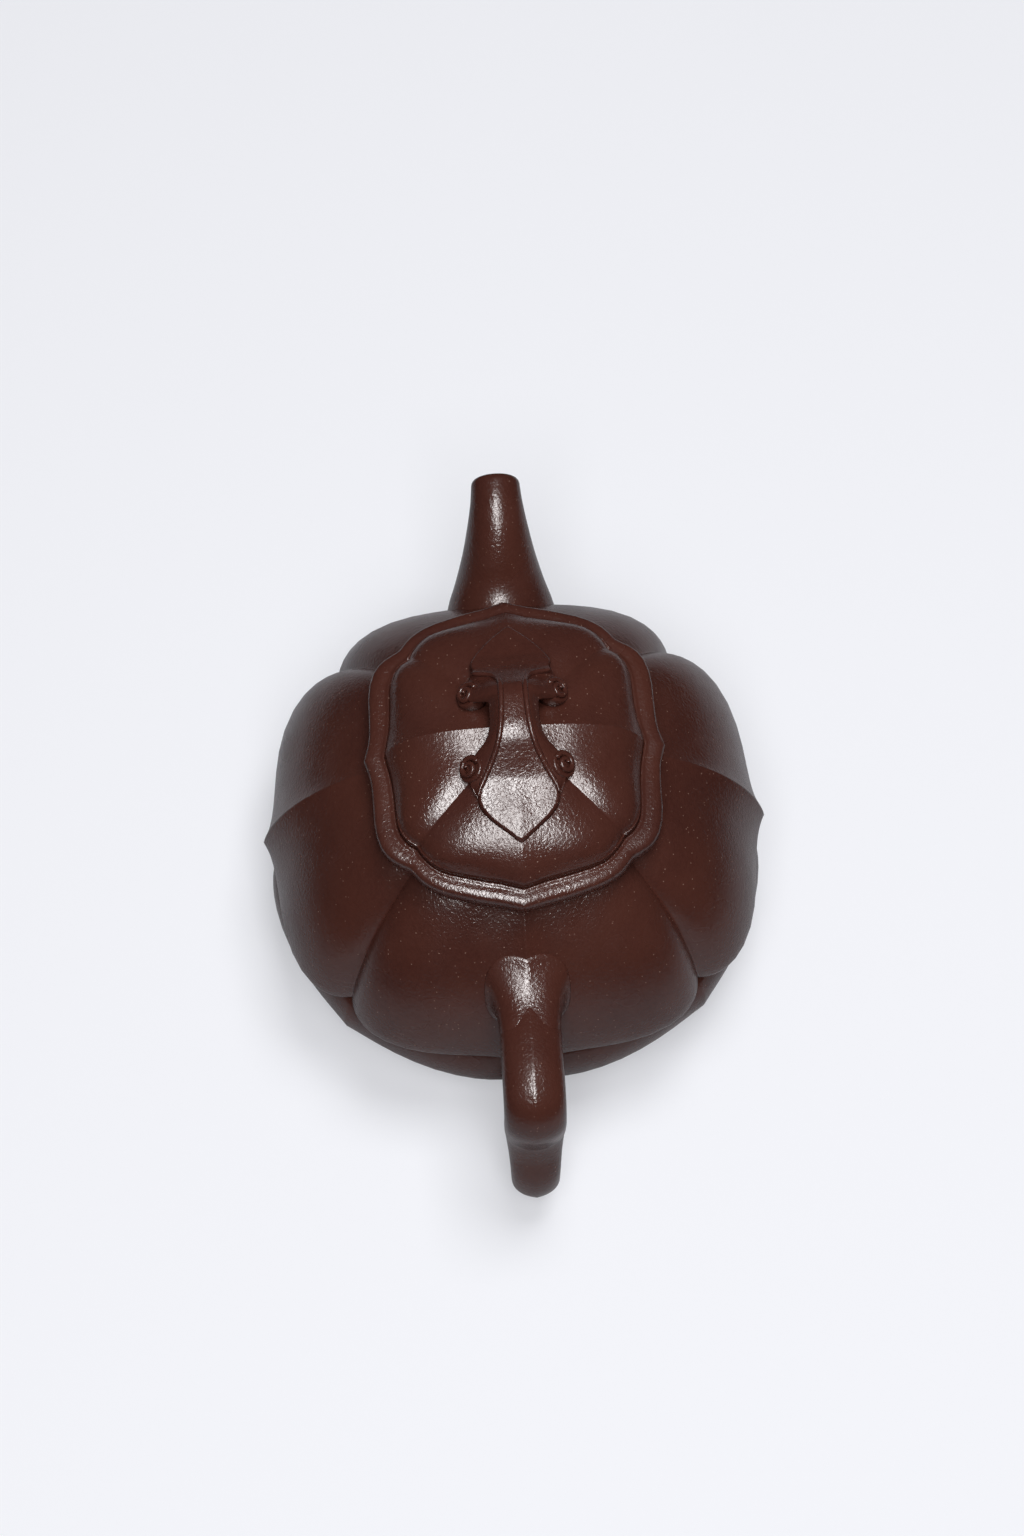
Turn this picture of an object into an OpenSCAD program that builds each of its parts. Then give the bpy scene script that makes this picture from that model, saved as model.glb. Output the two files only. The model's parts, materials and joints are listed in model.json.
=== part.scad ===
// Four-lobed clay teapot with a ruyi bridge knob.
// Origin on the floor under the pot's own axis, +Z up, spout towards +X, handle towards -X.
// The plan is an ogee: four pointed ridges at 0, 90, 180 and 270 degrees, creases between them.

/* [Walls] */
// Distance from the axis to a ridge of the upper wall at its widest
body_r = 52.3; // [50:0.1:56]
// Height at which the upper wall is widest
belly_z = 21; // [19:0.5:23]
// Height from the widest level to the crown of the upper wall's curve
crown_h = 46; // [44:0.5:50]
// Height of the seam where the upper wall overhangs the lower one
seam_z = 25.6; // [24:0.1:28]
// Distance from the axis to a ridge of the lower wall at its widest
lower_r = 52.3; // [50:0.1:54]
// Height at which the lower wall is widest
lower_z = 18; // [16:0.5:20]
// Thickness of the thrown-and-beaten walls
wall = 3; // [2.4:0.1:3.6]
// Depth of the roll under the upper wall's lower edge
seam_roll = 1.6; // [1:0.1:2.2]
// Distance from the axis to the inside of the thickened seam
seam_in_r = 44; // [42:0.5:45]
// Film of slip between two luted pieces
slip = 0.15; // [0.1:0.01:0.25]

/* [Base and mouth] */
// Radius of the flat base disc
base_r = 30; // [26:0.5:32]
// Thickness of the base disc
base_t = 4; // [3:0.1:5]
// Width of the foot ring around the base
foot_w = 4.4; // [3:0.1:5]
// Height of the foot ring
foot_h = 3; // [2:0.1:4]
// Radius of the mouth that the lid's flange drops into
mouth_r = 23; // [20:0.1:24]
// Width of the mouth ring's rim
mouth_w = 4.6; // [3.5:0.1:5]
// Depth of the mouth ring
mouth_h = 4.5; // [4:0.1:6]

/* [Lid] */
// Height of the lid's rim top above the wall's top edge
lid_stand = 5.9; // [5.7:0.1:6.4]
// Distance from the axis to a side cusp of the lid
lid_r = 30.1; // [29.5:0.1:31]
// Length of the lid's plan along the spout over its width
lid_oval = 1.11; // [1:0.01:1.15]
// Thickness of the lid's rim band
rim_t = 4.2; // [3.4:0.1:4.6]
// Distance from the axis to the inner edge of the band at a side ridge
dome_r = 26.4; // [25.5:0.1:27]
// Height of the dome above the band's inner edge
dome_h = 12; // [10:0.1:14]
// Drop from the top of the band to the dome's edge
dome_step = 1; // [0.4:0.1:1.6]
// Thickness of the dome over the flange
dome_t = 3; // [2.4:0.1:3.4]
// Clearance between the flange and the mouth
flange_gap = 0.3; // [0.2:0.05:0.5]
// Thickness of the flange
flange_t = 2.6; // [2:0.1:3]
// Depth of the flange under the lid
flange_h = 8; // [6:0.5:10]
// Clearance between the closed lid and the mouth ring
seat_gap = 0.1; // [0.05:0.01:0.2]
// Radius of the air hole under the knob
vent_r = 1.2; // [0.8:0.1:1.6]

/* [Knob] */
// Height of the bridge's top above the dome
bridge_rise = 6; // [5:0.1:7]
// Distance from the middle of the bridge to the end of its foot
bridge_reach = 12.4; // [12:0.1:12.8]
// Half the width of the bridge at its middle
bridge_hw = 5; // [4.4:0.1:5.4]
// Thickness of the bridge strap
bridge_t = 2.4; // [2:0.1:2.8]
// Half the width of the channel between the two beads
channel_hw = 2.1; // [1.8:0.1:2.4]
// Radius of the beads along the channel
bead_r = 0.42; // [0.3:0.01:0.5]
// Distance of the scrolls from the middle, along and across
scroll_at = 8.4; // [8.2:0.1:8.8]
// Radius of a scroll
scroll_r = 2.5; // [2.2:0.1:2.6]
// Height of a scroll above the dome
scroll_h = 2.2; // [1.8:0.1:2.6]
// Distance from the middle of the lid to a leaf's tip
leaf_tip = 23; // [21:0.1:24]
// Half the width of a leaf at its shoulders
leaf_hw = 8; // [7:0.1:8.6]
// Thickness of a leaf
leaf_t = 0.9; // [0.6:0.1:1.2]

/* [Spout] */
// Distance from the axis to the centre of the spout's lip
spout_x = 65.4; // [64:0.1:67]
// Height of the centre of the spout's lip
spout_z = 57.6; // [57:0.1:59]
// Half the width of the spout at its lip
lip_r = 5.1; // [4.8:0.1:5.6]
// Half the width of the spout at its root
root_r = 11.4; // [10.5:0.1:12]
// Height of the centre of the spout's root
root_z = 37; // [36:0.5:38]
// Thickness of the spout's wall
spout_t = 1.5; // [1.3:0.1:2]
// Radius of the port through the wall behind the spout
port_r = 6.5; // [6:0.1:7]
// Thickness of the strainer plate in the port
strainer_t = 1.4; // [1:0.1:1.8]
// Radius of a strainer hole
strainer_hole_r = 0.8; // [0.6:0.05:0.9]

/* [Handle] */
// Distance from the axis to the outer bend of the handle's middle line
handle_x = 71; // [69:0.5:73]
// Half the width of the handle's strap, across the pot
handle_hw = 6.2; // [5.8:0.1:6.6]
// Half the thickness of the handle's strap
handle_ht = 4.3; // [3.8:0.1:4.6]
// Height at which the handle leaves the wall
handle_z = 44.5; // [43:0.5:46]
// Height of the lowest stretch of the handle's middle line
handle_low_z = 9.5; // [8.5:0.5:11]
// Radius of the collar round the handle's root
collar_r = 8.5; // [8:0.1:9]
// How far the collar stands off the wall
collar_h = 2.5; // [2:0.1:3]

/* [Hidden] */
clay = [0.30, 0.17, 0.145];
clay_deep = [0.26, 0.145, 0.125];

sector_steps = 12;              // plan points between a ridge and a crease
plan_steps = 8 * sector_steps;  // plan points round the pot
fine = 128;                     // facets asked of a true round
cusp_angle = 4;                 // degrees over which a ridge or a crease blends away

// Plan shapes: [swell of the petals, height of the ridges, depth of the creases]
wall_plan = [0.061, 0.051, 0.11];
lower_plan = [0.03, 0.03, 0.05];
rim_plan = [0.063, 0.043, 0.05];
dome_plan = [0.057, 0.038, 0.038];

// Plan angles crowd towards every ridge and crease
function plan_angle(i) =
    let (sector = floor(i / sector_steps), t = i % sector_steps)
    45 * sector + 22.5 * (1 - cos(180 * t / sector_steps));

// Radius of the ogee plan at angle a, as a share of the radius of its ridges
function lobe(a, plan) =
    let (from_ridge = abs((a + 405) % 90 - 45))
    1 + plan[0] * (1 - cos(4 * from_ridge))
      - plan[1] * (1 - exp(-from_ridge / cusp_angle))
      - plan[2] * exp((from_ridge - 45) / cusp_angle);

// Share of the full width left at height z of an elliptic profile
function bulge(z, mid, h) = sqrt(max(0.01, 1 - pow((z - mid) / h, 2)));

// Closed plan outline at height z, ridges at r, turned by turn degrees and stretched along X
function outline(r, z, plan, turn = 0, stretch = 1) =
    [for (i = [0:plan_steps - 1]) let (a = plan_angle(i), q = r * lobe(a + turn, plan))
        [stretch * q * cos(a), q * sin(a), z]];
function round_outline(r, z) =
    [for (i = [0:plan_steps - 1]) let (a = plan_angle(i)) [r * cos(a), r * sin(a), z]];

// Skin through rings of equal count; the last ring joins the first, or both ends are capped
// with fans about the points in middles
module skin(rings, capped = false, middles = undef) {
    n = len(rings[0]);
    m = len(rings);
    points = [for (ring = rings) each ring];
    side = [for (k = [0:m - (capped ? 2 : 1)], j = [0:n - 1])
        let (up = (k + 1) % m, next = (j + 1) % n)
        each [[k * n + j, up * n + j, up * n + next], [k * n + j, up * n + next, k * n + next]]];
    tips = middles == undef ? [middle(rings[0]), middle(rings[m - 1])] : middles;
    caps = [for (j = [0:n - 1]) let (next = (j + 1) % n)
        each [[j, next, m * n], [(m - 1) * n + next, (m - 1) * n + j, m * n + 1]]];
    if (capped) polyhedron(points = concat(points, tips), faces = concat(side, caps));
    else polyhedron(points = points, faces = side);
}
function total(points, i = 0) = i == len(points) ? [0, 0, 0] : points[i] + total(points, i + 1);
function middle(ring) = total(ring) / len(ring);

// Point at t, 0 to 1, on the smooth curve through the points of path
function along(path, t) =
    let (last = len(path) - 1, s = min(t * last, last - 0.0001), i = floor(s), u = s - i,
         a = path[max(i - 1, 0)], b = path[i], c = path[i + 1], d = path[min(i + 2, last)])
    0.5 * ((2 * b) + (c - a) * u + (2 * a - 5 * b + 4 * c - d) * u * u
        + (3 * b - a - 3 * c + d) * u * u * u);
function heading(path, t) =
    let (d = along(path, min(t + 0.01, 1)) - along(path, max(t - 0.01, 0))) d / norm(d);

// Oval section of a strap or tube that follows a path in the XZ plane
function section(path, t, across, thick, steps) =
    let (c = along(path, t), d = heading(path, t), n = [-d[1], d[0]])
    [for (j = [0:steps - 1]) let (g = 360 * j / steps)
        [c[0] + thick * cos(g) * n[0], -across * sin(g), c[1] + thick * cos(g) * n[1]]];

// ---------- walls ----------
neck_r = mouth_r + mouth_w;
neck_fade = 4;
upper_top_z = belly_z + crown_h * sqrt(1 - pow(neck_r / body_r, 2));
lid_z = upper_top_z + lid_stand;
// The ridges and creases die away just before the wall meets the round neck
function fade(r) = max(0, min(1, (r - neck_r) / neck_fade));
function upper_r(a, z) = let (r = body_r * bulge(z, belly_z, crown_h)) r * lobe(a, wall_plan * fade(r));
lower_under_h = 20.5;
lower_over_h = 30;
function lower_ridge_r(z) = lower_r * bulge(z, lower_z, z > lower_z ? lower_over_h : lower_under_h);
function lower_wall_r(a, z) = lower_ridge_r(z) * lobe(a + 45, lower_plan);

// Distance along X from the axis to the wall at side offset y and height z
function upper_x(y, z, n = 6) = n == 0 ? body_r * bulge(z, belly_z, crown_h) :
    let (x = upper_x(y, z, n - 1), r = upper_r(atan2(abs(y), x), z)) sqrt(max(r * r - y * y, 1));
function lower_x(y, z, n = 6) = n == 0 ? lower_ridge_r(z) :
    let (x = lower_x(y, z, n - 1), r = lower_wall_r(atan2(abs(y), x), z)) sqrt(max(r * r - y * y, 1));

function wall_ring(r, z) = outline(r, z, wall_plan * fade(r));

upper_rows = 12;
module upper_wall() {
    inner_r = body_r - wall;
    inner_h = crown_h - wall;
    inner_top_z = belly_z + inner_h * sqrt(1 - pow(neck_r / inner_r, 2));
    outer = [for (k = [0:upper_rows]) let (z = seam_z + seam_roll * 1.5
            + (upper_top_z - seam_z - seam_roll * 1.5) * sin(90 * k / upper_rows))
        k == upper_rows ? round_outline(neck_r + slip, upper_top_z)
            : wall_ring(body_r * bulge(z, belly_z, crown_h), z)];
    inner = [for (k = [8:-1:0]) let (z = seam_z + slip + (inner_top_z - seam_z) * sin(90 * k / 8))
        k == 8 ? round_outline(neck_r + slip, inner_top_z)
            : k == 0 ? round_outline(seam_in_r, z)
            : wall_ring(inner_r * bulge(z, belly_z, inner_h), z)];
    roll = [outline(body_r - seam_roll, seam_z + slip, wall_plan),
        outline(body_r - seam_roll * 0.3, seam_z + seam_roll * 0.5, wall_plan)];
    color(clay) difference() {
        skin(concat(roll, outer, inner));
        port(port_r, -3 * wall, 2 * wall);
    }
}

module lower_wall() {
    rows = 9;
    top_z = seam_z;
    bottom_z = foot_h;
    outer = [for (k = [0:rows]) let (z = bottom_z + (top_z - bottom_z) * (1 - cos(90 * k / rows)))
        outline(lower_ridge_r(z), z, lower_plan, 45)];
    floor_z = base_t + wall / 2;
    inner = [for (k = [5:-1:1]) let (z = floor_z + (top_z - 1.4 * wall - floor_z) * sin(18 * k))
        outline(lower_ridge_r(z) - wall, z, lower_plan, 45)];
    color(clay) skin(concat(outer, [round_outline(seam_in_r, top_z)], inner, [round_outline(base_r + slip, floor_z),
        round_outline(base_r + slip, bottom_z)]));
}

module base_disc() {
    color(clay_deep) cylinder(r = base_r, h = base_t, $fn = fine);
}

module foot_ring() {
    color(clay_deep) difference() {
        cylinder(r = base_r + slip + foot_w, h = foot_h - slip, $fn = fine);
        translate([0, 0, -1]) cylinder(r = base_r + slip, h = foot_h + 2, $fn = fine);
    }
}

seat_z = lid_z - rim_t - seat_gap;
module mouth_ring() {
    color(clay_deep) difference() {
        translate([0, 0, seat_z - mouth_h]) cylinder(r = neck_r, h = mouth_h, $fn = fine);
        translate([0, 0, seat_z - mouth_h - 1]) cylinder(r = mouth_r, h = mouth_h + 2, $fn = fine);
    }
}

// Round solid square to the ridge of the wall behind the spout, between two depths from its face
port_tilt = atan2((root_z - belly_z) / pow(crown_h, 2), upper_x(0, root_z) / pow(body_r, 2));
module port(r, from, to, across = 0, up = 0) {
    translate([upper_x(0, root_z), 0, root_z]) rotate([0, 90 - port_tilt, 0])
        translate([-up, across, from]) cylinder(r = r, h = to - from, $fn = r > 2 ? fine : fine / 4);
}

strainer_depth = 1.4 * wall;    // from the ridge in front of the plate to its inner face
module strainer() {
    hole_pitch = 2 * strainer_hole_r + 0.8;
    color(clay_deep) difference() {
        port(port_r - slip, -strainer_depth, strainer_t - strainer_depth);
        for (row = [-2:2], column = [-2:2])
            if (abs(row + column) <= 2)
                port(strainer_hole_r, -2 * wall, wall, hole_pitch * (column + row / 2),
                    hole_pitch * row * sqrt(3) / 2);
    }
}

// ---------- spout ----------
spout_steps = 24;
spout_rows = 14;
spout_root_x = upper_x(0, root_z);
// Middle line, in shares of the spout's reach and rise
function spout_at(out, up) = [spout_root_x + (spout_x - spout_root_x) * out, root_z + (spout_z - root_z) * up];
spout_path = [spout_at(-0.06, 0), spout_at(0.18, 0.19), spout_at(0.45, 0.64), spout_at(0.69, 0.87), spout_at(1, 1)];
function spout_across(t) = lip_r + (root_r - lip_r) * pow(1 - t, 2.4) + 0.9 * sin(180 * t);
function spout_thick(t) = lip_r - 0.5 + (root_r - lip_r - 1) * pow(1 - t, 2.6);
// A ring of the spout, bedded on the wall at the root and held clear of it beyond
function spout_ring(t, inset, stand) =
    [for (p = section(spout_path, t, spout_across(t) - inset, spout_thick(t) - inset, spout_steps))
        let (bed = upper_x(p[1], p[2]) + slip + stand) [t == 0 ? bed : max(p[0], bed), p[1], p[2]]];
module spout() {
    outer = [for (k = [0:spout_rows]) spout_ring(k / spout_rows, 0, 0.12 * k)];
    lip = [for (p = spout_ring(1, spout_t / 2, 0)) p + [0.5, 0, 0.2]];
    bore_inset = root_r - port_r - 0.2;
    inner = [for (k = [spout_rows:-1:0]) let (t = k / spout_rows)
        spout_ring(t, spout_t + (bore_inset - spout_t) * pow(1 - t, 3), 0.12 * k)];
    color(clay) skin(concat(outer, [lip], inner));
}

// ---------- handle, modelled towards +X and turned to the back ----------
handle_steps = 24;
crease_open = 0.8;              // hollow left where the handle's end bridges the lower wall's crease
handle_end_z = handle_low_z + 0.11 * (handle_z - handle_low_z);
handle_root_x = upper_x(0, handle_z);
// Middle line, in shares of the ear's reach and height
function ear_at(out, up) =
    [handle_root_x + (handle_x - handle_root_x) * out, handle_low_z + (handle_z - handle_low_z) * up];
handle_path = [ear_at(-0.04, 1), ear_at(0.35, 1.01), ear_at(0.64, 0.98), ear_at(0.85, 0.89), ear_at(0.93, 0.73),
    ear_at(0.9, 0.56), ear_at(0.99, 0.37), ear_at(1.07, 0.22), ear_at(0.9, 0.03), ear_at(0.58, 0),
    [lower_x(0, handle_end_z) - wall / 3, handle_end_z]];
module handle() {
    rows = 46;
    rings = [for (k = [0:rows]) let (t = k / rows)
        [for (p = section(handle_path, t, handle_hw, handle_ht, handle_steps))
            let (bed = (t < 0.5 ? upper_x(p[1], p[2]) : lower_x(p[1], p[2]) + slip) + slip)
            [k == 0 || k == rows ? bed : max(p[0], bed), p[1], p[2]]]];
    ends = [[upper_x(0, handle_z) + slip, 0, handle_z],
        [lower_x(0, handle_end_z) + slip + crease_open, 0, handle_end_z]];
    color(clay) rotate([0, 0, 180]) skin(rings, capped = true, middles = ends);
}

// Coil that thickens the joint round the handle's root, bedded on the wall
module handle_collar() {
    steps = 32;
    hole = [handle_hw + 2 * slip, handle_ht + 2 * slip];
    profile = [[0, 0], [0.5, 0], [1, 0], [1, 0.45], [0.72, 0.85], [0, 1]];
    rings = [for (p = profile) [for (j = [0:steps - 1]) let (g = 360 * j / steps,
            y = -(hole[0] + (collar_r - hole[0]) * p[0]) * sin(g),
            z = handle_z + (hole[1] + (collar_r - 1 - hole[1]) * p[0]) * cos(g))
        [upper_x(y, z) + slip + collar_h * p[1], y, z]]];
    color(clay) rotate([0, 0, 180]) skin(rings);
}

// ---------- lid ----------
dome_z = lid_z - dome_step;
rim_z = lid_z - rim_t;
// Height of the dome's surface over the plan point x, y
function dome_at(x, y) =
    let (u = x / lid_oval, a = atan2(y, u), share = norm([u, y]) / (dome_r * lobe(a + 360, dome_plan)))
    dome_z + dome_h * sqrt(max(0, 1 - share * share));
crown_z = dome_z + dome_h;

module lid_rim() {
    bevel = rim_t / 6;
    ring = [for (p = [[-bevel, 0], [0, bevel], [0, rim_t - bevel], [-bevel, rim_t]])
        outline(lid_r + p[0], rim_z + p[1], rim_plan, 0, lid_oval)];
    inside = [for (p = [[bevel * 0.6, rim_t], [0, rim_t - dome_step * 0.6], [0, 0]])
        outline(dome_r + p[0], rim_z + p[1], dome_plan, 0, lid_oval)];
    color(clay) skin(concat(ring, inside));
}

flange_r = mouth_r - flange_gap;
module lid_dome() {
    rows = 9;
    edge_r = dome_r - slip;
    cavity_r = flange_r - flange_t;
    side = [outline(edge_r, rim_z, dome_plan, 0, lid_oval)];
    top = [for (k = [rows:-1:1])
        let (ring = outline(edge_r * sin(90 * k / rows), dome_z, dome_plan, 0, lid_oval))
        [for (p = ring) [p[0], p[1], k == rows ? dome_z - slip : dome_at(p[0], p[1])]]];
    vent = [for (drop = [0, dome_t]) [for (p = round_outline(vent_r, 0)) [p[0], p[1], dome_at(p[0], p[1]) - drop]]];
    ceiling = [for (s = [0.3, 0.65, 0.97])
        [for (p = round_outline(cavity_r * s, 0)) [p[0], p[1], dome_at(p[0], p[1]) - dome_t]]];
    color(clay) skin(concat(side, top, vent, ceiling, [round_outline(cavity_r, rim_z)]));
}

module lid_flange() {
    color(clay_deep) translate([0, 0, rim_z - slip - flange_h]) difference() {
        cylinder(r = flange_r, h = flange_h, $fn = fine);
        translate([0, 0, -1]) cylinder(r = flange_r - flange_t, h = flange_h + 2, $fn = fine);
    }
}

// ---------- knob ----------
bridge_z = crown_z + bridge_rise;
bridge_rows = 24;
foot_z = dome_at(bridge_reach, 0);
function bridge_x(k) = bridge_reach * cos(180 * k / bridge_rows);
function bridge_top(x) = bridge_z - (bridge_z - foot_z) * pow(abs(x) / bridge_reach, 2.2);
function bridge_half(x) = bridge_hw + 0.3 * bridge_t * pow(abs(x) / bridge_reach, 3);
function channel_half(x) = channel_hw + 0.9 * pow(abs(x) / bridge_reach, 2);
shoulder = bridge_t * 0.375;    // width of the channel's shoulder under a bead
// Strap section from its left flank over the channel to its right flank and back underneath
module knob_bridge() {
    rings = [for (k = [0:bridge_rows]) let (x = bridge_x(k), z = bridge_top(x), w = bridge_half(x),
            c = channel_half(x))
        [for (p = [[-w, -0.8], [-w, -0.5], [-c - shoulder, -0.04], [-c, -0.19], [0, -0.23], [c, -0.19],
                [c + shoulder, -0.04], [w, -0.5], [w, -0.8], [w * 0.7, -1], [0, -1], [-w * 0.7, -1]])
            [x, p[0], max(z + bridge_t * p[1], dome_at(x, p[0]) + slip + (p[1] > -0.6 ? bridge_t / 10 : 0))]]];
    color(clay) skin(rings, capped = true);
}

// Bead that lies on one shoulder of the channel
module bead(side) {
    reach = 11;
    rings = [for (k = [bridge_rows:-1:0]) let (x = reach * bridge_x(k) / bridge_reach,
            y = side * (channel_half(x) + shoulder),
            z = max(bridge_top(x) - bridge_t * 0.04, dome_at(x, y) + slip + bridge_t / 10) + slip + bead_r)
        [for (j = [0:7]) let (g = 45 * j) [x, y + bead_r * cos(g), z + bead_r * sin(g)]]];
    color(clay) skin(rings, capped = true);
}
module bead_left() { bead(1); }
module bead_right() { bead(-1); }

// Spiral boss at one corner of the knob, bedded on the dome
module scroll(along_x, across_y) {
    steps = 24;
    x0 = along_x * scroll_at;
    y0 = across_y * scroll_at;
    profile = [[1, 0.5], [0.94, 0.95], [0.78, 1], [0.62, 0.66], [0.46, 0.7], [0.3, 1.05]];
    bed = [for (s = [0.35, 0.7, 1]) [for (j = [0:steps - 1]) let (g = 360 * j / steps,
            x = x0 + s * scroll_r * cos(g), y = y0 + s * scroll_r * sin(g)) [x, y, dome_at(x, y) + slip]]];
    top = [for (p = profile) [for (j = [0:steps - 1]) let (g = 360 * j / steps,
            x = x0 + p[0] * scroll_r * cos(g), y = y0 + p[0] * scroll_r * sin(g))
        [x, y, dome_at(x, y) + slip + p[1] * scroll_h]]];
    color(clay) skin(concat(bed, top), capped = true);
}
module scroll_front_left() { scroll(-1, 1); }
module scroll_front_right() { scroll(-1, -1); }
module scroll_back_left() { scroll(1, 1); }
module scroll_back_right() { scroll(1, -1); }

// Pointed leaf that lies on the dome from the foot of the bridge to its tip
leaf_rows = 10;
leaf_columns = 8;
function leaf_half(u) = leaf_hw * (0.86 + 0.14 * sin(min(u * 360, 90))) * pow(1 - u, 0.72) * (1 + 0.35 * u);
module leaf(side) {
    from_x = bridge_reach + slip;
    rings = [for (k = [0:leaf_rows]) let (u = min(k / leaf_rows, 0.995), x = side * (from_x + (leaf_tip - from_x) * u),
            w = leaf_half(u))
        concat([for (c = [0:leaf_columns]) let (y = w * (2 * c / leaf_columns - 1)) [x, y, dome_at(x, y) + slip]],
            [for (c = [leaf_columns:-1:0]) let (y = w * (2 * c / leaf_columns - 1))
                [x, y, dome_at(x, y) + slip + leaf_t]])];
    color(clay) skin(side > 0 ? rings : [for (k = [leaf_rows:-1:0]) rings[k]], capped = true);
}
module leaf_front() { leaf(-1); }
module leaf_back() { leaf(1); }

upper_wall();
lower_wall();
base_disc();
foot_ring();
mouth_ring();
strainer();
spout();
handle_collar();
handle();
lid_rim();
lid_dome();
lid_flange();
knob_bridge();
bead_left();
bead_right();
scroll_front_left();
scroll_front_right();
scroll_back_left();
scroll_back_right();
leaf_front();
leaf_back();
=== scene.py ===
"""Four-lobed zisha teapot: the potter's pieces, their clay and the table they stand on."""
import json
from math import atan2, cos, degrees, exp, hypot, pi, radians, sin, sqrt, tan

import bmesh
import bpy
from mathutils import Matrix, Vector

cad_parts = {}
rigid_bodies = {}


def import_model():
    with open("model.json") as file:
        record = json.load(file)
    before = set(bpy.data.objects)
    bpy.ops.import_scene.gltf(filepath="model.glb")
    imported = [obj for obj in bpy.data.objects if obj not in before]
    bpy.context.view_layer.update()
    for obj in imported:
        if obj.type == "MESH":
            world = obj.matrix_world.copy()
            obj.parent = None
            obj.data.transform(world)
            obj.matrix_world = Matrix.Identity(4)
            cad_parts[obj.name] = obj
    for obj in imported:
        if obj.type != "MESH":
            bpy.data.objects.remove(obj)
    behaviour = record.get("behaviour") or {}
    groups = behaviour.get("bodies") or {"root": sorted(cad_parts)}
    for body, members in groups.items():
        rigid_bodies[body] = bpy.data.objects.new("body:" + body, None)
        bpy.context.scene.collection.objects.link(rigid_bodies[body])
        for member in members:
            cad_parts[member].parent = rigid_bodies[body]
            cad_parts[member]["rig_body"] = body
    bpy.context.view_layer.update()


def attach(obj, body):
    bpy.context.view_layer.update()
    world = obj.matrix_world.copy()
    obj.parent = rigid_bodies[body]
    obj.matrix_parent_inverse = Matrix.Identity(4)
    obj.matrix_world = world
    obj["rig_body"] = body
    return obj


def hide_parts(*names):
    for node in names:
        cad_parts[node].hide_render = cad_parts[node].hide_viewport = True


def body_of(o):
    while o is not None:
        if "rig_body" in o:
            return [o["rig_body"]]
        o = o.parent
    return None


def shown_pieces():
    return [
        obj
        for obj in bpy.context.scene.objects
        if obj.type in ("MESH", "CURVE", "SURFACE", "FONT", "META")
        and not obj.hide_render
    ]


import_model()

MM = 0.001

# ---------- sizes of the pot, in millimetres, as the solids have them ----------
# The wall's upper half: its reach over the ridges, the height where it is widest, its rise over that
BODY_R = 52.3
BELLY_Z = 21.0
CROWN_H = 46.0
# The wall's lower half: the same, and its depth under the widest place
LOWER_R = 52.3
LOWER_Z = 18.0
LOWER_OVER = 30.0
LOWER_UNDER = 20.5
WALL = 3.0
# The seam between the halves: its height, the round edge over it, and the inner reach of the luted faces
SEAM_Z = 25.6
SEAM_ROLL = 1.6
SEAM_IN_R = 44.0
# Slip in a joint between two pieces
SLIP = 0.15
# How far the lower half stands inside its solid, and how much further it tucks in under the seam
LOWER_INSET = 0.2
LOWER_TUCK = 1.0
# Base disc, foot ring and mouth ring
BASE_R = 30.0
BASE_T = 4.0
FOOT_W = 4.4
FOOT_H = 3.0
MOUTH_R = 23.0
MOUTH_W = 4.6
MOUTH_H = 4.5
# Lid: its stand over the neck, its band, and how much longer than wide it is
LID_STAND = 5.9
LID_R = 30.1
LID_OVAL = 1.11
RIM_T = 4.2
# Dome: reach, reach where the band holds it, rise, step below the band's lip, thickness, air hole
DOME_R = 27.05
DOME_FOOT_R = 26.8
DOME_H = 12.0
DOME_STEP = 1.0
DOME_T = 3.0
VENT_R = 1.2
FLANGE_GAP = 0.3
FLANGE_T = 2.6
FLANGE_H = 8.0
# The dome's skin: rise and softness of a side ridge, depth and softness of a crease, degrees that a crease
# leans towards the side, a flat fall all over, how full the dome's curve is, how square its plan is
RIDGE_RISE = 0.95
RIDGE_SOFT = 5.4
CREASE_DROP = 1.7
CREASE_SOFT = 5.4
CREASE_LEAN = 3.0
DOME_FALL = 0.35
DOME_FULL = 2.2
DOME_SQUARE = 0.12
# The share of the lid's swelling plan that is left at the crown
PLAN_AT_CROWN = 0.3
# Ridges and creases grow from nothing at the crown out to this distance, fade over the last shares of the
# reach and stop short of the foot
CROWN_CALM = 9
RIDGE_FADE = 0.25
CREASE_FADE = 0.04
RELIEF_END = 0.985
LEAF_T = 0.9
# Spout: half width at the root, wall, radius of the port
ROOT_R = 11.4
SPOUT_T = 1.5
PORT_R = 6.5
# Top and belly of the spout from its root inside the wall to the lip, and its half width there
SPOUT_TOP = [(39.8, 48), (42.9, 48.9), (45.4, 50.8), (48, 53.7), (50.9, 56.5), (54, 58.7), (57.3, 60.3),
             (60.6, 61.3), (63.7, 61.8)]
SPOUT_LOW = [(51.2, 27), (53.2, 28.4), (55, 31.2), (56.6, 34.8), (58, 38.8), (59.4, 43), (60.8, 47),
             (62.5, 50.4), (64.5, 52.8)]
SPOUT_ACROSS = [11.4, 10.6, 9.5, 8.4, 7.4, 6.6, 5.9, 5.35, 5.05]
# Handle: half width and half thickness of the strap, heights of its two roots, reach of the collar
HANDLE_HALF = 6.2
HANDLE_THICK = 4.3
HANDLE_Z = 44.5
HANDLE_LOW_Z = 9.5
COLLAR_R = 8.5
# Section of the strap and its collar: how far it stands inside its solid, how square it is (2 is an oval),
# and the low ridge along its back
STRAP_INSET = 0.1
STRAP_CORNER = 2.7
STRAP_KEEL = 0.22
# How much slimmer the strap gets, and over which shares of its way
STRAP_SLIMMER = 1.2
SLIM_FROM = 0.42
SLIM_OVER = 0.3
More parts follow.
